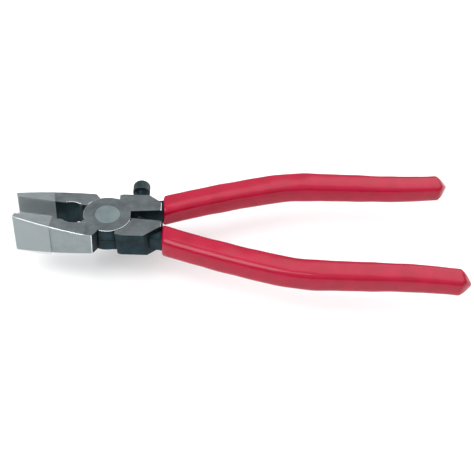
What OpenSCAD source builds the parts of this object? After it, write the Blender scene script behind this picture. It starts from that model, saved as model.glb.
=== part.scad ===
// Running pliers for scored sheet glass. Two forged levers cross in a riveted
// lap joint. Wide flared jaws wear slip-on vinyl boots, the handles are dipped
// in vinyl, and a cap screw in one lever stops the jaws before they crush the
// glass.
//
// Frame: origin on the pivot axis in the joint's back face, +Z along the pivot
// to the front face, +X to the handles, +Y to the handle that holds the screw.
// Both levers are one forging, turned over about the X axis.

/* [Joint] */
// Thickness of the lap joint, both cheeks together
joint_t = 12.9; // [11:0.1:16]
// Radius of each round cheek
cheek_r = 11.5; // [10:0.1:13]
// Space between a cheek's rim and the other lever's shoulder
rim_gap = 0.3; // [0.2:0.05:0.6]
// Space between the flat faces of the two cheeks
cheek_gap = 0.06; // [0.04:0.02:0.2]
// Diameter of the rivet's shank
rivet_d = 8; // [5:0.1:9]
// Diameter of the rivet's flush heads
rivet_head_d = 12.2; // [10:0.1:15]
// Thickness of each rivet head
rivet_head_t = 2; // [1:0.1:3]
// Radial running clearance of the plain lever on the rivet
rivet_fit = 0.05; // [0.02:0.01:0.09]

/* [Jaws] */
// Reach of the steel jaw, from the pivot to its end
jaw_l = 43.1; // [36:0.1:55]
// Width of the steel jaw across its end
jaw_tip_w = 22.1; // [18:0.1:32]
// Width of the steel jaw at its heel
jaw_heel_w = 11.5; // [9:0.1:12]
// Offset of the jaw towards the side of its own cheek
jaw_shift = 0.2; // [0:0.05:0.8]
// Thickness of the steel jaw at its end
jaw_tip_t = 2.4; // [2:0.1:5]
// Height of the steel gripping face off the centre line
jaw_face_y = 5.85; // [5:0.05:8]
// Radius of the slightly bowed outer face
jaw_back_r = 200; // [120:5:400]
// Distance from the pivot back to the heel corner
heel_x = 6.4; // [6:0.1:9]
// Height of the heel corner off the centre line
heel_y = 14.7; // [13.5:0.1:17]
// Distance from the pivot to the middle of the round relief
relief_x = 16.5; // [15.5:0.1:19]
// Radius of the round relief behind the jaws
relief_r = 7.1; // [6:0.1:8]

/* [Jaw boots] */
// Length of jaw that a boot covers
boot_l = 18.2; // [10:0.1:22]
// How much less of it the boot's outer face covers
boot_slant = 0.5; // [0:0.1:3]
// Wall thickness of a boot
boot_wall = 1.15; // [0.8:0.05:2]
// Wall thickness of the outer face at the boot's mouth
boot_lip = 0.75; // [0.5:0.05:2]
// Rounding of a boot's outer corners
boot_round = 1.6; // [0.8:0.1:2.4]
// Space between a boot and the steel all round
boot_fit = 0.03; // [0.02:0.01:0.1]

/* [Shoulders] */
// Height of the shoulder's outer face off the centre line
shoulder_y = 13.9; // [13:0.1:17]
// Half the width of the slot between the shoulders, at its front end
slot_y = 2.35; // [2.1:0.05:4]
// Distance from the pivot to the end of the full-thickness shoulder
shoulder_l = 26.1; // [25.6:0.1:30]
// Drop of the shoulder's flat faces into the tang
shoulder_drop = 0.8; // [0.4:0.1:2.2]

/* [Stop screw] */
// Thread diameter of the stop screw
screw_d = 5; // [4:0.5:5]
// Radial clearance of the thread in the tapped hole
screw_fit = 0.05; // [0.02:0.01:0.09]
// Distance from the pivot to the screw's axis
screw_x = 15; // [14.8:0.1:17]
// Length of the screw under its head
screw_l = 19; // [16:1:25]
// Diameter of the screw's knurled head
screw_head_d = 8.5; // [7.5:0.1:10]
// Height of the screw's head
screw_head_t = 5.7; // [4:0.1:7]
// Size of the hexagon socket across its flats
socket_af = 4; // [3:0.5:4]
// Depth of the hexagon socket
socket_t = 2.5; // [1.5:0.1:3]

/* [Handles] */
// Length of a dipped grip along the handle's centre line
grip_l = 147; // [120:0.5:180]
// Height of the handle's centre line where the grip starts
handle_y = 10; // [9.5:0.05:12]
// Outward slope of the handle where the grip starts, in degrees
root_angle = 21; // [16:0.5:25]
// Outward slope of the handle at the front of the hand's bend, in degrees
bend_angle = 15; // [12:0.5:20]
// Outward slope of the handle's tail, in degrees
tail_angle = 8; // [0:0.5:12]
// Distance along the handle to the front of the hand's bend
bend_start = 55; // [45:1:62]
// Distance along the handle to the end of the hand's bend
bend_end = 76; // [68:1:90]
// Distance along the handle to the start of the tail's flare
tail_start = 108; // [95:1:115]
// Width of the steel tang inside the grip, across the tool
tang_w = 7.4; // [6:0.1:8]
// Thickness of the steel tang inside the grip, through the tool
tang_t = 6.8; // [5:0.1:7.5]
// Length of grip beyond the end of the tang
grip_cover = 9; // [5:0.5:15]
// Space between a grip and its tang all round
grip_fit = 0.03; // [0.02:0.01:0.1]
// Width of the grip at its open end
grip_start_w = 12.2; // [11:0.1:13]
// Thickness of the grip at its open end
grip_start_t = 11.7; // [11:0.1:13]
// Width of the grip in the palm
grip_palm_w = 12.8; // [12:0.1:16]
// Thickness of the grip in the palm
grip_palm_t = 12; // [11:0.1:15]
// Width of the grip at the tail, before its tip
grip_tail_w = 11.4; // [10:0.1:14]
// Thickness of the grip at the tail, before its tip
grip_tail_t = 10.5; // [10:0.1:13]
// Length of the blunt pointed tip
grip_tip_l = 5.5; // [4:0.5:9]
// Squareness of the grip's section: 2 is an ellipse
grip_square = 3.4; // [2:0.1:4]

/* [Hidden] */
$fn = 96;
over = 1;                      // how far a cutter runs past a face
jaw_slant = 0.7;               // the jaw's end leans back this far at its gripping face
heel_run = 2.9;                // height of the slanted face between heel and cheek
heel_step = 2.2;               // its run along the jaw
web_r = 2;                     // radius between the round relief and the cheek's rim
nick = 0.02;                   // makes round faces cross instead of just touching
shoulder_x = 4.65;              // front end of the shoulder, at mid-thickness
boss_y = 11.5;                 // its sloping outer corner, carried on to the pivot's line
boss_end_x = 7;                // end of that sloping corner, start of the flat outer face
boss_draft = 4.9;              // draft of the shoulder's front end, in degrees
end_x = 18.3;                  // end of the outer face, where the sloping end starts
end_y = 7.5;                   // height of the sloping end at the shoulder's full length
end_draft = 5.7;               // draft of the sloping end, in degrees
slot_end_x = 10.9;             // square end of the slot, in the cheeks' rims
slot_slope = 0.086;            // rise of the slot's edge per millimetre
tang_root = [20.4, 12.9];      // where the tang's outer edge leaves the sloping end
chamfer = 0.5;                 // chamfers of the screw
grip_x = shoulder_l + 0.1;     // the grip starts just clear of the shoulder
tang_l = grip_l - grip_cover;
ring_step = 4;                 // distance between the grip's sections
ring_sides = 32;
square_run = 14;               // the grip's open end turns square to the handle over this
tip_rings = 6;
tip_blunt = 0.14;              // share of the section left at the very end
tip_lean = 0.6;                // outward lean of the tip
path_step = 1;
function slot_edge(x) = slot_y + slot_slope * (x - slot_end_x);
screw_tip_y = slot_edge(screw_x);
jaw_flare = (jaw_tip_w - jaw_heel_w) / 2 / (jaw_l - heel_x);

// Slope of the handle's centre line at a distance s along it.
function slope(s) = lookup(s, [
  [0, root_angle], [bend_start, bend_angle], [bend_end, 0.8],
  [tail_start, 0], [grip_l, tail_angle]
]);

// Points of the handle's centre line, one every path_step.
handle_path = [
  for (s = 0, p = [grip_x, handle_y]; s <= grip_l + path_step;
    p = p + path_step * [cos(slope(s)), sin(slope(s))], s = s + path_step) p
];

// A point of the centre line at a distance s, and its outward normal.
function on_path(s) =
  let (i = min(floor(s / path_step), len(handle_path) - 2), f = s / path_step - i)
  handle_path[i] * (1 - f) + handle_path[i + 1] * f;
function normal(s) = [-sin(slope(s)), cos(slope(s))];

// Centre of the circle of radius r that passes through p and q, on their left.
function arc_centre(p, q, r) =
  let (d = q - p, h = norm(d) / 2)
  (p + q) / 2 + [-d[1], d[0]] / norm(d) * sqrt(r * r - h * h);

// Everything is drawn about the joint's middle plane, then lifted to the frame.
module from_mid_plane() { translate([0, 0, joint_t / 2]) children(); }

// The second lever is the same forging, turned over.
module turned_over() { rotate([180, 0, 0]) children(); }

// The corners of the jaw's bowed outer face, and its height at any x. g grows it.
function heel(g = 0) = [-heel_x, -heel_y - g];
function jaw_tip(g = 0) = [-jaw_l - g, -jaw_face_y - jaw_tip_t - g];
function jaw_back_y(x) =
  let (c = arc_centre(jaw_tip(), heel(), jaw_back_r))
  c[1] - sqrt(jaw_back_r * jaw_back_r - (x - c[0]) * (x - c[0]));

// Plan of the jaw. g grows every face, for the hollow of a boot.
module jaw_plan(g = 0) {
  heel = heel(g);
  tip = jaw_tip(g);
  intersection() {
    polygon([
      [heel_step - heel_x, -jaw_face_y + g],
      [-jaw_l + jaw_slant - g, -jaw_face_y + g],
      tip,
      tip - [0, heel_y],
      heel - [0, heel_y],
      heel,
      heel + [heel_step, heel_run]
    ]);
    translate(arc_centre(tip, heel, jaw_back_r)) circle(jaw_back_r, $fn = 720);
  }
}

// The wide jaw: its plan, cut to the width that flares towards the end. On its
// own cheek's side it is flush with the joint until the flare passes that face.
module jaw(g = 0) {
  end_w = jaw_heel_w / 2 + jaw_flare * (jaw_l + over - heel_x) + g;
  root_w = jaw_heel_w / 2 - jaw_flare * heel_x + g;
  flush_w = joint_t / 2 + g;
  flush_x = (flush_w - root_w - jaw_shift) / jaw_flare;
  intersection() {
    linear_extrude(jaw_tip_w * 2, center = true)
      difference() {
        jaw_plan(g);
        translate([-relief_x, 0]) circle(relief_r - g);
      }
    rotate([90, 0, 0])
      linear_extrude(heel_y * 4, center = true)
        polygon([
          [0, flush_w], [-flush_x, flush_w], [-jaw_l - over, jaw_shift + end_w],
          [-jaw_l - over, jaw_shift - end_w], [0, jaw_shift - root_w]
        ]);
  }
}

// Fills the sharp corner between the round relief and the cheek's rim.
module web() {
  relief = [-relief_x, 0];
  reach = cheek_r + web_r;
  x = (pow(relief_r - web_r, 2) - reach * reach - relief_x * relief_x) / (2 * relief_x);
  centre = [x, -sqrt(reach * reach - x * x)];
  on_rim = centre * cheek_r / reach;
  on_relief = relief + (centre - relief) * relief_r / (relief_r - web_r);
  linear_extrude(joint_t / 2)
    difference() {
      polygon([
        on_rim, on_relief, [-relief_x, on_relief[1]], [-relief_x, -jaw_face_y - over],
        [-heel_x, -jaw_face_y - over], [-heel_x, on_rim[1]]
      ]);
      translate(relief) circle(relief_r);
      translate(centre) circle(web_r + nick);
    }
}

// Plan of the shoulder, the thick part between the joint and the handle.
module shoulder_plan() {
  polygon([
    [0, slot_edge(0)],
    [shoulder_l, slot_edge(shoulder_l)],
    [shoulder_l, shoulder_y],
    [boss_end_x, shoulder_y],
    [0, boss_y]
  ]);
}

// The space ahead of the shoulder's drafted front end.
module front_space() {
  translate([shoulder_x, cheek_r - over, 0])
    rotate([0, boss_draft, 0])
      translate([-shoulder_l, 0, -joint_t]) cube([shoulder_l, shoulder_y, 2 * joint_t]);
}

// The space behind the shoulder's sloping and drafted end.
module end_space() {
  translate([end_x, shoulder_y, 0])
    rotate([-end_draft, 0, atan2(end_y - shoulder_y, shoulder_l - end_x)])
      translate([-shoulder_l, 0, -joint_t]) cube([3 * shoulder_l, shoulder_l, 2 * joint_t]);
}

// The shoulder, with flat faces that drop towards the tang.
module shoulder() {
  flat = joint_t / 2;
  low = flat - shoulder_drop;
  knee = shoulder_l - shoulder_drop;
  intersection() {
    difference() {
      linear_extrude(joint_t * 2, center = true) shoulder_plan();
      front_space();
      end_space();
    }
    rotate([90, 0, 0])
      linear_extrude(shoulder_y * 4, center = true)
        polygon([
          [0, flat], [knee, flat], [shoulder_l, low],
          [shoulder_l, -low], [knee, -flat], [0, -flat]
        ]);
  }
}

// The tang that the grip is dipped over. g grows it, for the grip's hollow.
module tang(g = 0) {
  stations = [for (s = 6; s <= tang_l; s = s + 2) s];
  half = tang_w / 2 + g;
  last = on_path(tang_l + g);
  turn = slope(tang_l);
  linear_extrude(tang_t + 2 * g, center = true)
    polygon(concat(
      [[end_x, slot_edge(end_x) + 0.5 - g], [grip_x, handle_y - tang_w * 0.66 - g]],
      [for (s = stations) on_path(s) - half * normal(s)],
      [last - half * normal(tang_l), last + half * normal(tang_l)],
      [for (i = [len(stations) - 1 : -1 : 0]) on_path(stations[i]) + half * normal(stations[i])],
      [on_path(0) + half * normal(0), tang_root + [0, g], [end_x, end_y + g]]
    ));
}

// One complete forging: a cheek in the upper half of the joint, the jaw at the
// lower left, the shoulder and tang at the upper right.
module forging() {
  difference() {
    union() {
      linear_extrude(joint_t / 2) circle(cheek_r);
      jaw();
      web();
      shoulder();
      tang();
    }
    // room for the other lever's cheek
    translate([0, 0, -joint_t]) cylinder(joint_t + cheek_gap / 2, r = cheek_r + rim_gap);
    // square end of the slot
    translate([slot_end_x, -slot_y, -joint_t]) cube([over, 2 * slot_y, 2 * joint_t]);
  }
}

// A hole for the rivet and its flush head, from the front face down.
module rivet_hole(fit) {
  translate([0, 0, -joint_t]) cylinder(2 * joint_t, d = rivet_d + 2 * fit);
  translate([0, 0, joint_t / 2 - rivet_head_t - fit])
    cylinder(joint_t, d = rivet_head_d + 2 * fit);
}

// Places its children in the screw's axis, with +Z outward.
module on_screw_axis(y) { translate([screw_x, y, 0]) rotate([-90, 0, 0]) children(); }

module screw_lever() {
  color("#6b7275") from_mid_plane() difference() {
    forging();
    rivet_hole(0);
    on_screw_axis(0) cylinder(2 * shoulder_y, d = screw_d + 2 * screw_fit);
  }
}

module plain_lever() {
  color("#63696c") from_mid_plane() turned_over() difference() {
    forging();
    rivet_hole(rivet_fit);
  }
}

// The rivet: a shank with a flush head at each end.
module pivot_rivet() {
  color("#829091") from_mid_plane() {
    cylinder(joint_t, d = rivet_d, center = true);
    for (side = [0, 180])
      rotate([side, 0, 0])
        translate([0, 0, joint_t / 2 - rivet_head_t])
          cylinder(rivet_head_t, d = rivet_head_d);
  }
}

// Outside of a boot: its plan, cut to the jaw's flare, with the end's corners taken off.
module boot_shell() {
  rear_x = jaw_l - boot_l;
  end_x = jaw_l + boot_wall;
  back = jaw_face_y + jaw_tip_t + boot_wall;
  rear_back = boot_lip - jaw_back_y(-rear_x - boot_slant);
  face = jaw_face_y - boot_wall;
  end_half = jaw_tip_w / 2 + boot_wall;
  rear_half = end_half - jaw_flare * boot_l;
  c = boot_round;
  small = c / 3;
  intersection() {
    linear_extrude(jaw_tip_w * 2, center = true)
      polygon([
        [-rear_x, -face],
        [-end_x + jaw_slant + small, -face],
        [-end_x + jaw_slant, -face - small],
        [-end_x, -back + small],
        [-end_x + small, -back],
        [-rear_x - boot_slant, -rear_back]
      ]);
    rotate([90, 0, 0])
      linear_extrude(heel_y * 4, center = true)
        translate([0, jaw_shift]) polygon([
          [-rear_x, rear_half], [-end_x + c, end_half - jaw_flare * c], [-end_x, end_half - c],
          [-end_x, c - end_half], [-end_x + c, jaw_flare * c - end_half], [-rear_x, -rear_half]
        ]);
  }
}

module boot() {
  difference() {
    boot_shell();
    jaw(boot_fit);
  }
}

module lower_jaw_boot() {
  color("#a4abae") from_mid_plane() boot();
}

module upper_jaw_boot() {
  color("#a4abae") from_mid_plane() turned_over() boot();
}

// Width, thickness and place of the grip's sections.
tip_start = grip_l - grip_tip_l;
body_stations = [for (s = 0; s < tip_start - ring_step / 2; s = s + ring_step) s];
tip_stations = [for (i = [0 : tip_rings]) tip_start + grip_tip_l * i / tip_rings];
grip_stations = concat(body_stations, tip_stations);
function grip_w(s) = lookup(s, [
  [0, grip_start_w], [bend_start, grip_palm_w], [bend_end, grip_palm_w],
  [tip_start, grip_tail_w]
]);
function grip_t(s) = lookup(s, [
  [0, grip_start_t], [bend_start, grip_palm_t], [bend_end, grip_palm_t],
  [tip_start, grip_tail_t]
]);

// Share of the full section that is left at a distance s: it closes to a blunt point.
function tip_share(s) = 1 - (1 - tip_blunt) * pow(max(s - tip_start, 0) / grip_tip_l, 1.2);

function rounded(c, n) = sign(c) * pow(abs(c), 2 / n);

// One ring of the grip's skin. The first rings stand square to the tool, and
// the later ones square to the handle.
function grip_ring(s) =
  let (
    k = tip_share(s),
    square = min(s / square_run, 1),
    turn = slope(s) * square,
    stretch = 1 / cos(slope(s) - turn),
    across = [-sin(turn), cos(turn)] * grip_w(s) / 2 * k * stretch,
    centre = on_path(s) + normal(s) * tip_lean * (1 - k)
  )
  [for (i = [0 : ring_sides - 1])
    let (
      a = 360 * i / ring_sides,
      p = centre + across * rounded(cos(a), grip_square)
    )
    [p[0], p[1], grip_t(s) / 2 * k * rounded(sin(a), grip_square)]];

module grip_skin() {
  rings = [for (s = grip_stations) grip_ring(s)];
  n = ring_sides;
  m = len(rings);
  sides = [for (j = [0 : m - 2], i = [0 : n - 1])
    [j * n + i, j * n + (i + 1) % n, (j + 1) * n + (i + 1) % n, (j + 1) * n + i]];
  open_end = [[for (i = [n - 1 : -1 : 0]) i]];
  tip_end = [[for (i = [0 : n - 1]) (m - 1) * n + i]];
  polyhedron([for (ring = rings) each ring], concat(sides, open_end, tip_end));
}

module grip() {
  difference() {
    grip_skin();
    tang(grip_fit);
  }
}

module upper_grip() {
  color("#c21e42") from_mid_plane() grip();
}

module lower_grip() {
  color("#c21e42") from_mid_plane() turned_over() grip();
}

// The stop screw: a cap screw with a knurled head and a hexagon socket.
module stop_screw() {
  r = screw_d / 2;
  head_r = screw_head_d / 2;
  top = screw_l + screw_head_t;
  color("#2f3a3c") from_mid_plane() on_screw_axis(screw_tip_y) difference() {
    rotate_extrude()
      polygon([
        [0, 0], [r - chamfer, 0], [r, chamfer], [r, screw_l],
        [head_r - chamfer / 2, screw_l], [head_r, screw_l + chamfer / 2],
        [head_r, top - chamfer], [head_r - chamfer, top], [0, top]
      ]);
    translate([0, 0, top - socket_t])
      cylinder(socket_t + over, d = socket_af / cos(30), $fn = 6);
  }
}

screw_lever();
plain_lever();
pivot_rivet();
lower_jaw_boot();
upper_jaw_boot();
upper_grip();
lower_grip();
stop_screw();
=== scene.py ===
from math import cos, pi, radians, sin, sqrt

import bmesh
import bpy
from mathutils import Matrix, Vector


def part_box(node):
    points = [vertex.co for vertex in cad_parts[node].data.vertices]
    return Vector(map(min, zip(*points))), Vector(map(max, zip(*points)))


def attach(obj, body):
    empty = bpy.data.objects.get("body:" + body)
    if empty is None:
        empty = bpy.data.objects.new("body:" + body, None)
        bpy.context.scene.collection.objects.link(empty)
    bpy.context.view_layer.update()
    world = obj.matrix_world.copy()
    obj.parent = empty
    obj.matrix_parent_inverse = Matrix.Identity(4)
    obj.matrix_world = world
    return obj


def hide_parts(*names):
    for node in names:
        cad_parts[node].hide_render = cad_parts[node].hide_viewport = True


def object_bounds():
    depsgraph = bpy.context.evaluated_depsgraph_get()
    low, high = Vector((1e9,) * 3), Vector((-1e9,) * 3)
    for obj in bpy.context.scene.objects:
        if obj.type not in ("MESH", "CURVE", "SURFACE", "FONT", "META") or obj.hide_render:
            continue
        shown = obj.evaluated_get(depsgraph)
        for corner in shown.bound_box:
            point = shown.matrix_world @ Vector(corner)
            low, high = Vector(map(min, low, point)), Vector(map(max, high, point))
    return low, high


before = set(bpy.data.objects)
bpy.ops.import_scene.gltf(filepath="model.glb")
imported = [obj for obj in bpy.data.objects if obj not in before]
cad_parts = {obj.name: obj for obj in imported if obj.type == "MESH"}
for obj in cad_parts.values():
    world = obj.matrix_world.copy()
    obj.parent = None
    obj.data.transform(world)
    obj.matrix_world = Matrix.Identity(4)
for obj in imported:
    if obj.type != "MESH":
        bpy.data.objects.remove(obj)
cad_low, cad_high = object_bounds()

# The two levers. Both are one drop forging in medium-carbon steel, blackened
# all over in an oxide bath. Grinding then bared the flat sides and the backs
# of the jaws, and left the forged edges, the slot and the hollow black.
mm = 0.001
joint_low, joint_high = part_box("pivot_rivet")
joint_t = joint_high.z - joint_low.z
mid_z = (joint_high.z + joint_low.z) / 2
heel_x = -6.4 * mm
grip_mouth_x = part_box("upper_grip")[0].x
corner_round = 0.9 * mm                      # the forging's upright corners
edge_round = 0.25 * mm                       # the rounded edges of its ground faces, worn and painted bright as a highlight
dull_edge_round = 0.15 * mm                  # its other edges
corner_turn = radians(20)                    # a sharper turn than this is a corner
edge_turn = radians(40)                      # and a sharper turn than this is an edge
shortest_corner = 3 * mm
rivet_seat_r = 6.5 * mm                      # edges nearer the pivot stay sharp
weld_gap = 0.002 * mm
same_plane = radians(0.6)


def linear(hex_colour):
    """Turns an sRGB hex colour to the linear values that a shader takes."""
    parts = [int(hex_colour[i:i + 2], 16) / 255 for i in (1, 3, 5)]
    return [c / 12.92 if c <= 0.04045 else ((c + 0.055) / 1.055) ** 2.4 for c in parts] + [1.0]


def add_node(tree, kind, values=(), links=(), **settings):
    """Adds a shader node with its settings, its sockets' values and its links."""
    made = tree.nodes.new("ShaderNode" + kind)
    for name, setting in settings.items():
        setattr(made, name, setting)
    for socket, value in dict(values).items():
        made.inputs[socket].default_value = value
    for socket, source in dict(links).items():
        tree.links.new(source, made.inputs[socket])
    return made


def new_material(name):
    """A new material, with its node tree and its principled shader."""
    made = bpy.data.materials.new(name)
    made.use_nodes = True
    return made, made.node_tree, made.node_tree.nodes["Principled BSDF"]


def add_piece(name, mesh, materials, sharp=35):
    """Puts a finished mesh in the scene as a piece, smooth up to a sharp angle in degrees."""
    made = bpy.data.objects.new(name, mesh)
    bpy.context.scene.collection.objects.link(made)
    for material in materials:
        mesh.materials.append(material)
    for polygon in mesh.polygons:
        polygon.use_smooth = True
    mesh.set_sharp_from_angle(angle=radians(sharp))
    return made


# Surface-ground steel: fine parallel scratches from a 120-grit belt, drawn
# 0.35 mm apart because the real ones are too fine to show. The oxide bath has
# stained the bare metal in clouds 5 mm across, which give it its mottled grey.
scratch_gap = 0.35 * mm
scratch_l = 9 * mm
stain_size = 5 * mm


def ground_steel(name, light, dark, roughness, scratch_axis):
    made, tree, shader = new_material(name)
    place = add_node(tree, "TexCoord")
    stretch = [1 / scratch_gap] * 3
    stretch[scratch_axis] = 1 / scratch_l
    scratches = add_node(
        tree, "Mapping", {"Scale": stretch}, {"Vector": place.outputs["Object"]})
    scratch = add_node(
        tree, "TexNoise", {"Scale": 1.0, "Detail": 3.0, "Roughness": 0.6},
        {"Vector": scratches.outputs["Vector"]})
    cloud = add_node(
        tree, "TexNoise", {"Scale": 1 / stain_size, "Detail": 4.0, "Roughness": 0.55},
        {"Vector": place.outputs["Object"]})
    blend = add_node(
        tree, "Mix", {"Factor": 0.75}, {"A": scratch.outputs["Fac"], "B": cloud.outputs["Fac"]})
    ramp = add_node(tree, "ValToRGB", links={"Fac": blend.outputs["Result"]})
    ramp.color_ramp.elements[0].position = 0.34
    ramp.color_ramp.elements[0].color = linear(dark)
    ramp.color_ramp.elements[1].position = 0.66
    ramp.color_ramp.elements[1].color = linear(light)
    tree.links.new(ramp.outputs["Color"], shader.inputs["Base Color"])
    rough = add_node(
        tree, "MapRange", {"From Min": 0.3, "From Max": 0.7, "To Min": roughness - 0.08,
                           "To Max": roughness + 0.08}, {"Value": cloud.outputs["Fac"]})
    tree.links.new(rough.outputs["Result"], shader.inputs["Roughness"])
    bump = add_node(
        tree, "Bump", {"Strength": 0.2, "Distance": 0.02 * mm},
        {"Height": scratch.outputs["Fac"]})
    tree.links.new(bump.outputs["Normal"], shader.inputs["Normal"])
    shader.inputs["Metallic"].default_value = 1.0
    return made


# Black oxide over a forged skin: a thin blue-green black conversion coat that
# keeps the soft pitted texture of the die, about 0.8 mm from pit to pit.
pit_size = 0.8 * mm
bloom_size = 6 * mm


def black_oxide(name, light, dark, roughness):
    made, tree, shader = new_material(name)
    place = add_node(tree, "TexCoord")
    pits = add_node(
        tree, "TexNoise", {"Scale": 1 / pit_size, "Detail": 4.0, "Roughness": 0.6},
        {"Vector": place.outputs["Object"]})
    cloud = add_node(
        tree, "TexNoise", {"Scale": 1 / bloom_size, "Detail": 3.0},
        {"Vector": place.outputs["Object"]})
    ramp = add_node(tree, "ValToRGB", links={"Fac": cloud.outputs["Fac"]})
    ramp.color_ramp.elements[0].position = 0.35
    ramp.color_ramp.elements[0].color = linear(dark)
    ramp.color_ramp.elements[1].position = 0.7
    ramp.color_ramp.elements[1].color = linear(light)
    tree.links.new(ramp.outputs["Color"], shader.inputs["Base Color"])
    rough = add_node(
        tree, "MapRange", {"To Min": roughness - 0.07, "To Max": roughness + 0.09},
        {"Value": pits.outputs["Fac"]})
    tree.links.new(rough.outputs["Result"], shader.inputs["Roughness"])
    bump = add_node(
        tree, "Bump", {"Strength": 0.5, "Distance": 0.05 * mm},
        {"Height": pits.outputs["Fac"]})
    tree.links.new(bump.outputs["Normal"], shader.inputs["Normal"])
    shader.inputs["Metallic"].default_value = 0.75
    return made


# The flats and the jaws' backs are one ground steel in two tones. The flats are painted darker as
# shade and the backs lighter as painted light, by the way they face.
# The edges between them are rubbed bright, and painted brighter still as a highlight.
shaded_ground_flat = ground_steel("shaded_ground_flat_steel", "#6f7578", "#595f61", 0.42, 0)
lit_ground_back = ground_steel("lit_ground_jaw_back_steel", "#8c9496", "#7d8587", 0.4, 2)
worn_edge_and_painted_highlight = ground_steel("worn_edge_and_painted_highlight_steel", "#e6eaec", "#cdd4d7", 0.25, 0)
oxide = black_oxide("black_oxide_forging", "#173138", "#0a191e", 0.4)


def forging_finish(face, outward):
    """Says how a face of a forging is finished: 0 ground flat, 1 ground back, 2 oxide."""
    n = face.normal
    middle = face.calc_center_median()
    on_flat = abs(n.z) > 0.93 and abs(middle.z - mid_z) > joint_t / 3
    if on_flat and middle.x < grip_mouth_x:
        return 0
    if n.y * outward > 0.85 and middle.x < heel_x:
        return 1
    return 2


def forged_lever(node, outward):
    """Copies a lever's CAD mesh, marks its ground faces and rounds its edges.

    The rounded edges of the ground faces turn bright: wear, with a painted highlight on top. An
    edge that meets a very short one stays sharp, as its rounding would run past the end.
    """
    mesh = bpy.data.meshes.new(node + "_forging")
    form = bmesh.new()
    form.from_mesh(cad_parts[node].data)
    bmesh.ops.remove_doubles(form, verts=form.verts, dist=weld_gap)
    bmesh.ops.dissolve_limit(
        form, angle_limit=same_plane, verts=form.verts, edges=form.edges)
    bmesh.ops.triangulate(form, faces=[f for f in form.faces if len(f.verts) > 4])
    for face in form.faces:
        face.material_index = forging_finish(face, outward)
    corners = [
        e for e in form.edges
        if len(e.link_faces) == 2 and e.calc_face_angle(0) > corner_turn
        and abs((e.verts[0].co - e.verts[1].co).normalized().z) > 0.97
        and e.calc_length() > shortest_corner and e.verts[0].co.x < grip_mouth_x
        and all(f.material_index == 2 for f in e.link_faces)
    ]
    bmesh.ops.bevel(
        form, geom=corners, offset=corner_round, segments=3, affect="EDGES",
        clamp_overlap=True, material=-1)
    # the rims of the ground faces take the bright edge steel: worn steel, painted lighter as a
    # highlight
    for bright, width in ((True, edge_round), (False, dull_edge_round)):
        rims = [
            e for e in form.edges
            if len(e.link_faces) == 2 and e.calc_face_angle(0) > edge_turn
            and any(f.material_index < 2 for f in e.link_faces) == bright
            and any(f.material_index for f in e.link_faces)
            and min(v.co.xy.length for v in e.verts) > rivet_seat_r
            and min(n.calc_length() for v in e.verts for n in v.link_edges) > 0.5 * width
        ]
        bmesh.ops.bevel(
            form, geom=rims, offset=width, segments=2, affect="EDGES",
            clamp_overlap=False, material=3 if bright else -1)
    form.to_mesh(mesh)
    form.free()
    mesh.validate()
    made = add_piece(node + "_forging", mesh, [shaded_ground_flat, lit_ground_back, oxide, worn_edge_and_painted_highlight])
    for polygon in mesh.polygons:
        polygon.use_smooth = polygon.material_index != 0
    made.modifiers.new("even_shading", "WEIGHTED_NORMAL").keep_sharp = True
    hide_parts(node)
    return made


screw_lever = forged_lever("screw_lever", -1)
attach(screw_lever, "screw_side")
plain_lever = forged_lever("plain_lever", 1)
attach(plain_lever, "plain_side")

# The pivot. A mild-steel rivet, headed over cold into both cheeks and ground
# flush with them. It fills its hole in the screw's lever, and the other lever
# turns on it. It shows as a slightly lighter disc, ground with the cheek.
rivet_head_r = (joint_high.x - joint_low.x) / 2
rivet_r = 4 * mm
rivet_head_t = 2 * mm
rivet_edge = 0.14 * mm


def closed_skin(name, rings):
    """A closed mesh through rings of points, with a fan over its first and its last ring."""
    count = len(rings[0])
    points = [point for ring in rings for point in ring]
    faces = []
    for start in range(0, len(points) - count, count):
        for i in range(count):
            a, b = start + i, start + (i + 1) % count
            faces.append((a, b, b + count, a + count))
    for start in (0, len(points) - count):
        hub = len(points)
        points.append(sum((points[start + i] for i in range(count)), Vector()) / count)
        faces += [(hub, start + (i + 1) % count, start + i) for i in range(count)]
    mesh = bpy.data.meshes.new(name)
    mesh.from_pydata(points, [], faces)
    form = bmesh.new()
    form.from_mesh(mesh)
    bmesh.ops.recalc_face_normals(form, faces=form.faces)
    form.to_mesh(mesh)
    form.free()
    return mesh


def circle(radius, height, sides):
    """A ring of points round the Z axis."""
    turns = [2 * pi * i / sides for i in range(sides)]
    return [Vector((radius * cos(a), radius * sin(a), height)) for a in turns]


half_joint = joint_t / 2
rivet_profile = [
    (rivet_head_r * 0.5, half_joint), (rivet_head_r - rivet_edge, half_joint),
    (rivet_head_r, half_joint - rivet_edge), (rivet_head_r, half_joint - rivet_head_t),
    (rivet_r, half_joint - rivet_head_t)]
rivet_profile += [(r, -z) for r, z in reversed(rivet_profile)]
rivet_mesh = closed_skin(
    "pivot_rivet", [circle(r, mid_z + z, 96) for r, z in rivet_profile])
rivet_steel = ground_steel("ground_rivet_steel", "#849092", "#758285", 0.42, 1)
rivet = add_piece("flush_rivet", rivet_mesh, [rivet_steel])
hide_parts("pivot_rivet")
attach(rivet, "screw_side")

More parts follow.
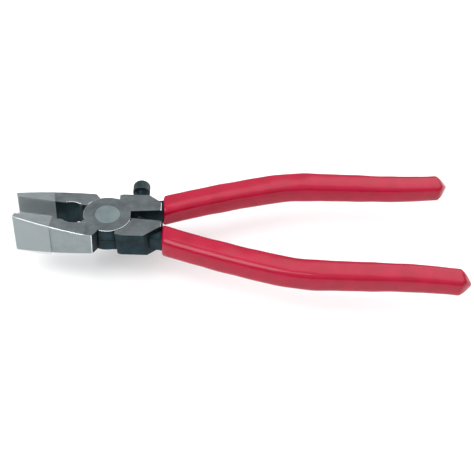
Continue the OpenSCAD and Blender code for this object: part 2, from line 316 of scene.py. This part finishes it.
# The jaw boots. Each is a sock of smooth clear-grey vinyl, dip-moulded, slipped
# over the end of a jaw so that it can't chip the glass. It is held by its own
# grip on the flare, and its wall is thinner on the outer face at the mouth.
jaw_end_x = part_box("screw_lever")[0].x
jaw_face_y = 5.85 * mm
jaw_tip_t = 2.4 * mm
jaw_heel = Vector((heel_x, -14.7 * mm))
jaw_tip = Vector((jaw_end_x, -jaw_face_y - jaw_tip_t))
jaw_back_r = 200 * mm
jaw_slant = 0.7 * mm
jaw_flare = 0.1444
boot_low, boot_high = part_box("lower_jaw_boot")
boot_shift = (boot_high.z + boot_low.z) / 2 - mid_z
boot_wall = jaw_end_x - boot_low.x
boot_lip = 0.75 * mm
boot_slant = 0.5 * mm
boot_fit = 0.04 * mm
boot_corner = 1.1 * mm
boot_tip_round = Vector((1.1, 1.8)) * mm     # across the jaw's thickness, and its width
boot_mouth_bow = 0.6 * mm


def jaw_back_y(x):
    """Height of the lower jaw's bowed outer face."""
    chord = jaw_heel - jaw_tip
    rise = sqrt(jaw_back_r ** 2 - chord.length_squared / 4)
    centre = (jaw_heel + jaw_tip) / 2 + Vector((-chord.y, chord.x)).normalized() * rise
    return centre.y - sqrt(jaw_back_r ** 2 - (x - centre.x) ** 2)


def round_over(depth, radius):
    """How far a rounded end is drawn in at a depth behind its tip."""
    return radius - sqrt(radius ** 2 - max(radius - depth, 0) ** 2)


def rounded_box(half_a, half_b, radius, steps=6):
    """Points round a rectangle with rounded corners."""
    radius = min(radius, half_a, half_b)
    points = []
    for corner, (a, b) in enumerate(((1, 1), (-1, 1), (-1, -1), (1, -1))):
        for i in range(steps + 1):
            turn = pi / 2 * (corner + i / steps)
            points.append((a * (half_a - radius) + radius * cos(turn),
                           b * (half_b - radius) + radius * sin(turn)))
    return points


def boot_ring(along, cover, depth, side):
    """One ring of a boot, at a share along it. A cover of 1 is its outside, and 0 its hollow."""
    tip_x = boot_low.x + (1 - cover) * boot_wall
    x = tip_x + along * (boot_high.x - tip_x)
    back_wall = boot_wall + along * (boot_lip - boot_wall)
    low_y = jaw_back_y(min(max(x, jaw_end_x), heel_x)) - boot_fit - cover * back_wall
    high_y = -jaw_face_y + boot_fit + cover * boot_wall
    half_w = (boot_high.z - boot_low.z) / 2 - (x - boot_low.x) * jaw_flare
    half_w -= (1 - cover) * boot_wall - boot_fit
    draw_in = [round_over(depth, radius) for radius in boot_tip_round]
    half_y = (high_y - low_y) / 2 - draw_in[0]
    half_z = half_w - draw_in[1]
    ring = []
    for y, z in rounded_box(half_y, half_z, boot_corner * (0.3 + 0.7 * cover)):
        outward = (half_y - y) / (2 * half_y)
        bow = boot_mouth_bow * (z / half_z) ** 2
        lean = (1 - along) * jaw_slant * (1 - outward) - along * (boot_slant + bow) * outward
        ring.append(Vector((x + lean, side * (y + (high_y + low_y) / 2),
                            mid_z + side * (z + boot_shift))))
    return ring


def jaw_boot(node, side):
    """A boot: its outside from tip to mouth, then its rim and its hollow back to the tip."""
    length = boot_high.x - boot_low.x
    # rings stand closer together where the tip rounds over
    depths = [0, 0.1 * mm, 0.35 * mm, 0.75 * mm, 1.3 * mm, 2.1 * mm, 3 * mm]
    depths += [d * mm for d in range(5, 17, 2)] + [length - 0.4 * mm]
    rings = [boot_ring(d / length, 1, d, side) for d in depths]
    # the mouth's rounded rim, as steps back from it and shares of the wall
    rim = [(-0.12 * mm, 0.9), (0, 0.62), (0, 0.35), (-0.1 * mm, 0.08), (-0.4 * mm, 0)]
    rings += [boot_ring(1 + back / length, cover, length, side) for back, cover in rim]
    rings += [boot_ring(share, 0, length, side) for share in (0.75, 0.5, 0.25, 0)]
    return add_piece(node + "_sock", closed_skin(node, rings), [boot_vinyl], sharp=50)


# Clear plasticised PVC with a grey tint, glossy from the mould's polish: the
# steel's own tone shows through it, dark inside the jaws and light outside. A
# wall is two skins, so each of them is faint. A slight ripple, 6 mm from crest
# to crest, bends its highlights.
boot_vinyl, boot_tree, boot_shader = new_material("clear_grey_dipped_vinyl")
boot_shader.inputs["Base Color"].default_value = linear("#b9c2c4")
boot_shader.inputs["Roughness"].default_value = 0.1
boot_shader.inputs["IOR"].default_value = 1.52
boot_shader.inputs["Alpha"].default_value = 0.23
boot_place = add_node(boot_tree, "TexCoord")
boot_ripple = add_node(
    boot_tree, "TexNoise", {"Scale": 1 / (6 * mm), "Detail": 1.0},
    {"Vector": boot_place.outputs["Object"]})
boot_bump = add_node(
    boot_tree, "Bump", {"Strength": 0.4, "Distance": 0.3 * mm},
    {"Height": boot_ripple.outputs["Fac"]})
boot_tree.links.new(boot_bump.outputs["Normal"], boot_shader.inputs["Normal"])

lower_boot = jaw_boot("lower_jaw_boot", 1)
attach(lower_boot, "screw_side")
upper_boot = jaw_boot("upper_jaw_boot", -1)
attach(upper_boot, "plain_side")
for boot, node in ((lower_boot, "lower_jaw_boot"), (upper_boot, "upper_jaw_boot")):
    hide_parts(node)

# The grips. Each handle is dipped warm in liquid PVC, which sets as a thick
# glossy red skin: nearly square over the steel at its cut mouth, fuller in the
# palm, and drawn to a blunt point where the last of it ran off the end. These
# sizes are in millimetres, and a table gives a value at a distance down the grip.
grip_slopes = ((0, 21), (55, 15), (76, 0.8), (108, 0), (147, 8))
grip_widths = ((0, 12.2), (55, 12.8), (76, 12.8), (141.5, 11.4), (147, 11.4))
grip_depths = ((0, 11.7), (55, 12), (76, 12), (141.5, 10.5), (147, 10.5))
grip_l = 147
grip_tip_l = 5.5
grip_cover = 9                               # skin beyond the end of the tang
grip_square = 3.4                            # 2 would be an ellipse
tip_blunt = 0.14                             # share of the section left at the end
tip_ease = 1.5
tip_lean = 0.6
tang_half = (3.7, 3.4)
tang_clear = 1.03
tang_square = 30
mouth_y = 10
mouth_square_run = 14                        # the section turns square to the handle
mouth_round = 1.1
root_swell = 1.2                             # the tang is wider where it leaves the lever
root_swell_run = 8
grip_sides = 72
tip_step = 0.25
body_step = 1.5
body_rings = 92


def at(table, s):
    """Value at a distance s in a table of (distance, value) pairs, in a straight line between."""
    for (s0, v0), (s1, v1) in zip(table, table[1:]):
        if s <= s1:
            return v0 + (v1 - v0) * max(s - s0, 0) / (s1 - s0)
    return table[-1][1]


handle_path = [Vector((grip_mouth_x / mm, mouth_y))]
for step in range(grip_l + 1):
    turn = radians(at(grip_slopes, step))
    handle_path.append(handle_path[-1] + Vector((cos(turn), sin(turn))))


def on_path(s):
    """Point of the handle's centre line at a distance s in millimetres."""
    i = min(int(s), len(handle_path) - 2)
    return handle_path[i].lerp(handle_path[i + 1], s - i)


def grip_ring(s, half_w, half_t, power, side, root=0):
    """One ring of a grip, a squarish oval of a given power, in the frame's metres."""
    square = min(s / mouth_square_run, 1)
    slope = radians(at(grip_slopes, s))
    across = Vector((-sin(slope * square), cos(slope * square)))
    stretch = 1 / cos(slope * (1 - square))
    closing = max(s - grip_l + grip_tip_l, 0) / grip_tip_l
    share = 1 - (1 - tip_blunt) * closing ** tip_ease
    lean = tip_lean * (1 - share) * Vector((-sin(slope), cos(slope)))
    ring = []
    for i in range(grip_sides):
        a = 2 * pi * i / grip_sides
        c = abs(cos(a)) ** (2 / power) * (1 if cos(a) > 0 else -1)
        d = abs(sin(a)) ** (2 / power) * (1 if sin(a) > 0 else -1)
        reach = half_w * stretch + (root if c < 0 else 0)
        flat = on_path(s) + lean + across * reach * c * share
        height = half_t * d * share
        ring.append(Vector((flat.x * mm, side * flat.y * mm, mid_z + side * height * mm)))
    return ring


def dipped_grip(node, side):
    """A grip: its skin from the tip to the mouth, its rim, then its hollow down the tang."""
    stations = [grip_l - tip_step * i for i in range(int(grip_tip_l / tip_step))]
    stations += [grip_l - grip_tip_l - body_step * i for i in range(body_rings)]
    rings = []
    for s in stations + [mouth_round * k for k in (1, 0.6, 0.3, 0.1, 0)]:
        drawn = round_over(s, mouth_round)
        # the dip never sets quite even
        wave = 0.05 * sin(s / 3.7) + 0.04 * sin(s / 2.3 + 1)
        half_w = at(grip_widths, s) / 2 - drawn + wave
        half_t = at(grip_depths, s) / 2 - drawn + wave
        rings.append(grip_ring(s, half_w, half_t, grip_square, side))
    hollow_w, hollow_t = (half * tang_clear for half in tang_half)
    hollow_end = grip_l - grip_cover
    # rings stand closer together where the tang narrows at its root
    for s in [0, 0.3, 1, 2, 4, 6, 8] + list(range(12, hollow_end, 6)) + [hollow_end]:
        root = root_swell * max(1 - s / root_swell_run, 0)
        rings.append(grip_ring(s, hollow_w, hollow_t, tang_square, side, root))
    return add_piece(node + "_dip", closed_skin(node, rings), [grip_vinyl], sharp=60)


# Dipped plasticised PVC, cured in an oven: a deep glossy red with soft patches
# 7 mm across where it set thicker, and a faint orange peel 1.6 mm from bump to
# bump. The glossy skin is weak in reflection, since the plasticiser dulls it.
grip_vinyl, grip_tree, grip_shader = new_material("red_dipped_pvc")
grip_place = add_node(grip_tree, "TexCoord")
grip_cloud = add_node(
    grip_tree, "TexNoise", {"Scale": 1 / (7 * mm), "Detail": 3.0, "Roughness": 0.5},
    {"Vector": grip_place.outputs["Object"]})
grip_peel = add_node(
    grip_tree, "TexNoise", {"Scale": 1 / (1.6 * mm), "Detail": 2.0},
    {"Vector": grip_place.outputs["Object"]})
grip_ramp = add_node(grip_tree, "ValToRGB", links={"Fac": grip_cloud.outputs["Fac"]})
grip_ramp.color_ramp.elements[0].position = 0.35
grip_ramp.color_ramp.elements[0].color = linear("#980328")
grip_ramp.color_ramp.elements[1].position = 0.7
grip_ramp.color_ramp.elements[1].color = linear("#a5042f")
grip_tree.links.new(grip_ramp.outputs["Color"], grip_shader.inputs["Base Color"])
grip_rough = add_node(
    grip_tree, "MapRange", {"To Min": 0.12, "To Max": 0.22}, {"Value": grip_cloud.outputs["Fac"]})
grip_tree.links.new(grip_rough.outputs["Result"], grip_shader.inputs["Roughness"])
grip_bump = add_node(
    grip_tree, "Bump", {"Strength": 0.25, "Distance": 0.06 * mm},
    {"Height": grip_peel.outputs["Fac"]})
grip_tree.links.new(grip_bump.outputs["Normal"], grip_shader.inputs["Normal"])
grip_shader.inputs["IOR"].default_value = 1.53
grip_shader.inputs["Specular IOR Level"].default_value = 0.3

upper_grip = dipped_grip("upper_grip", 1)
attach(upper_grip, "screw_side")
lower_grip = dipped_grip("lower_grip", -1)
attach(lower_grip, "plain_side")
for grip, node in ((upper_grip, "upper_grip"), (lower_grip, "lower_grip")):
    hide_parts(node)

# The stop screw. An M5 cap screw of black-oxide steel with a rolled thread and
# a knurled head. The screw's lever is tapped for it, and a hexagon key turns it.
screw_low, screw_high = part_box("stop_screw")
screw_x = (screw_high.x + screw_low.x) / 2
screw_r = 2.5 * mm
head_r = (screw_high.x - screw_low.x) / 2
head_t = 5.7 * mm
shank_l = screw_high.y - screw_low.y - head_t
pitch = 0.8 * mm
thread_depth = 0.49 * mm
thread_crest = 0.125                         # shares of half a turn of the thread
thread_flank = 0.625
knurls = 36
knurl_depth = 0.16 * mm
socket_half = 2 * mm
socket_t = 2.5 * mm


def on_screw(ring):
    """Turns a ring drawn round the Z axis into the screw's place, with its head outward."""
    return [Vector((screw_x + p.x, screw_low.y + p.z, mid_z - p.y)) for p in ring]


def thread_ring(z, sides=48):
    """One ring of the thread: a 60 degree groove that climbs one pitch a turn."""
    ring = []
    for i in range(sides):
        phase = (z / pitch - i / sides) % 1
        cut = min(max(abs(phase - 0.5) * 2 - thread_crest, 0) / thread_flank, 1)
        core = screw_r - thread_depth
        lead_in = min(core + z, screw_r)
        radius = min(screw_r - thread_depth * cut, lead_in)
        a = 2 * pi * i / sides
        ring.append(Vector((radius * cos(a), radius * sin(a), z)))
    return ring


def head_ring(radius, z, knurl=0.0, hexagon=False, sides=144):
    """One ring of the head: round, knurled, or the hexagon of the socket."""
    ring = []
    for i in range(sides):
        a = 2 * pi * i / sides
        r = radius - knurl * (0.5 - 0.5 * cos(a * knurls))
        if hexagon:
            r = radius / cos((a % (pi / 3)) - pi / 6)
        ring.append(Vector((r * cos(a), r * sin(a), z)))
    return ring


thread_step = pitch / 8
shank_rings = [thread_ring(i * thread_step) for i in range(int(shank_l / thread_step))]
shank_mesh = closed_skin("screw_shank", [on_screw(ring) for ring in shank_rings])
top = shank_l + head_t
rim = 0.45 * mm
# the head from its underside up: rounded rim, knurled wall, crown, then the socket
head_rings = [
    head_ring(screw_r - thread_depth, shank_l - 0.2 * mm),
    head_ring(screw_r, shank_l),
    head_ring(head_r - rim, shank_l),
    head_ring(head_r - 0.2 * mm, shank_l + 0.1 * mm),
    head_ring(head_r - 0.05 * mm, shank_l + 0.3 * mm, knurl_depth * 0.3),
    head_ring(head_r, shank_l + rim, knurl_depth),
    head_ring(head_r, top - 0.9 * mm, knurl_depth),
    head_ring(head_r - 0.08 * mm, top - 0.6 * mm, knurl_depth * 0.3),
    head_ring(head_r - 0.25 * mm, top - 0.25 * mm),
    head_ring(head_r - 0.6 * mm, top - 0.05 * mm),
    head_ring(head_r - 0.9 * mm, top),
    head_ring(socket_half + 0.15 * mm, top, hexagon=True),
    head_ring(socket_half, top - 0.15 * mm, hexagon=True),
    head_ring(socket_half, top - socket_t, hexagon=True),
    head_ring(socket_half * 0.4, top - socket_t - 0.5 * mm)]
head_mesh = closed_skin("screw_head", [on_screw(ring) for ring in head_rings])
screw_form = bmesh.new()
screw_form.from_mesh(shank_mesh)
screw_form.from_mesh(head_mesh)
screw_mesh = bpy.data.meshes.new("stop_screw")
screw_form.to_mesh(screw_mesh)
screw_form.free()
black_steel = black_oxide("black_oxide_screw_steel", "#3a4b4f", "#202f33", 0.4)
screw = add_piece("knurled_stop_screw", screw_mesh, [black_steel], sharp=32)
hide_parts("stop_screw")
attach(screw, "stop_screw")

# The stage: a plain pale floor, far enough below the tool to keep its shadow
# soft, under a studio dome that is white overhead and grey at the horizon. Two
# large soft boxes add the highlights.
floor_mesh = bpy.data.meshes.new("floor")
floor_half = 3.0
floor_drop = 14 * mm
floor_z = cad_low.z - floor_drop
floor_mesh.from_pydata(
    [(x * floor_half, y * floor_half, floor_z) for x, y in ((-1, -1), (1, -1), (1, 1), (-1, 1))],
    [], [(0, 1, 2, 3)])
floor_paint, _, floor_shader = new_material("matt_white_floor")
floor_shader.inputs["Base Color"].default_value = linear("#f7f7f7")
floor_shader.inputs["Roughness"].default_value = 0.9
floor = add_piece("floor", floor_mesh, [floor_paint])

world = bpy.data.worlds.new("studio")
world.use_nodes = True
sky = add_node(world.node_tree, "TexCoord")
sky_height = add_node(
    world.node_tree, "SeparateXYZ", links={"Vector": sky.outputs["Generated"]})
sky_ramp = add_node(world.node_tree, "ValToRGB", links={"Fac": sky_height.outputs["Z"]})
sky_ramp.color_ramp.elements[0].position = 0.05
sky_ramp.color_ramp.elements[0].color = linear("#8e9496")
sky_ramp.color_ramp.elements[1].position = 0.85
sky_ramp.color_ramp.elements[1].color = linear("#ffffff")
studio = world.node_tree.nodes["Background"]
world.node_tree.links.new(sky_ramp.outputs["Color"], studio.inputs["Color"])
studio.inputs["Strength"].default_value = 1.05
bpy.context.scene.world = world
bpy.context.scene.view_settings.view_transform = "Standard"


def soft_box(name, place, target, width, height, watts):
    """A rectangular soft box at a place, turned to face a target."""
    light = bpy.data.lights.new(name, "AREA")
    light.shape = "RECTANGLE"
    light.size = width
    light.size_y = height
    light.energy = watts
    made = bpy.data.objects.new(name, light)
    made.location = place
    made.rotation_euler = (Vector(target) - Vector(place)).to_track_quat("-Z", "Y").to_euler()
    bpy.context.scene.collection.objects.link(made)


soft_box("key_light", (-0.3, -0.3, 0.8), (0.06, 0, 0), 0.7, 0.7, 6)
soft_box("fill_light", (0.5, 0.35, 0.7), (0.06, 0, 0), 1.0, 1.0, 4)

# The camera looks at the joint from 45 degrees above the near side, turned a
# little about its own axis, as a catalogue view of the tool.
view_azimuth = radians(-4.82)
view_height = radians(45.4)
view_roll = radians(4.97)
view_place = Vector((35.2, -321.7, 320.6)) * mm + Vector((0, 0, mid_z))
back = Vector((sin(view_azimuth) * cos(view_height), -cos(view_azimuth) * cos(view_height),
               sin(view_height)))
right = Vector((cos(view_azimuth), sin(view_azimuth), 0))
up = back.cross(right)
camera_data = bpy.data.cameras.new("camera")
camera_data.sensor_width = 36.0
camera_data.lens = 71.6
camera = bpy.data.objects.new("camera", camera_data)
camera_x = cos(view_roll) * right + sin(view_roll) * up
camera_y = -sin(view_roll) * right + cos(view_roll) * up
camera.matrix_world = Matrix.Translation(view_place) @ Matrix(
    (camera_x, camera_y, back)).transposed().to_4x4()
bpy.context.scene.collection.objects.link(camera)
bpy.context.scene.camera = camera
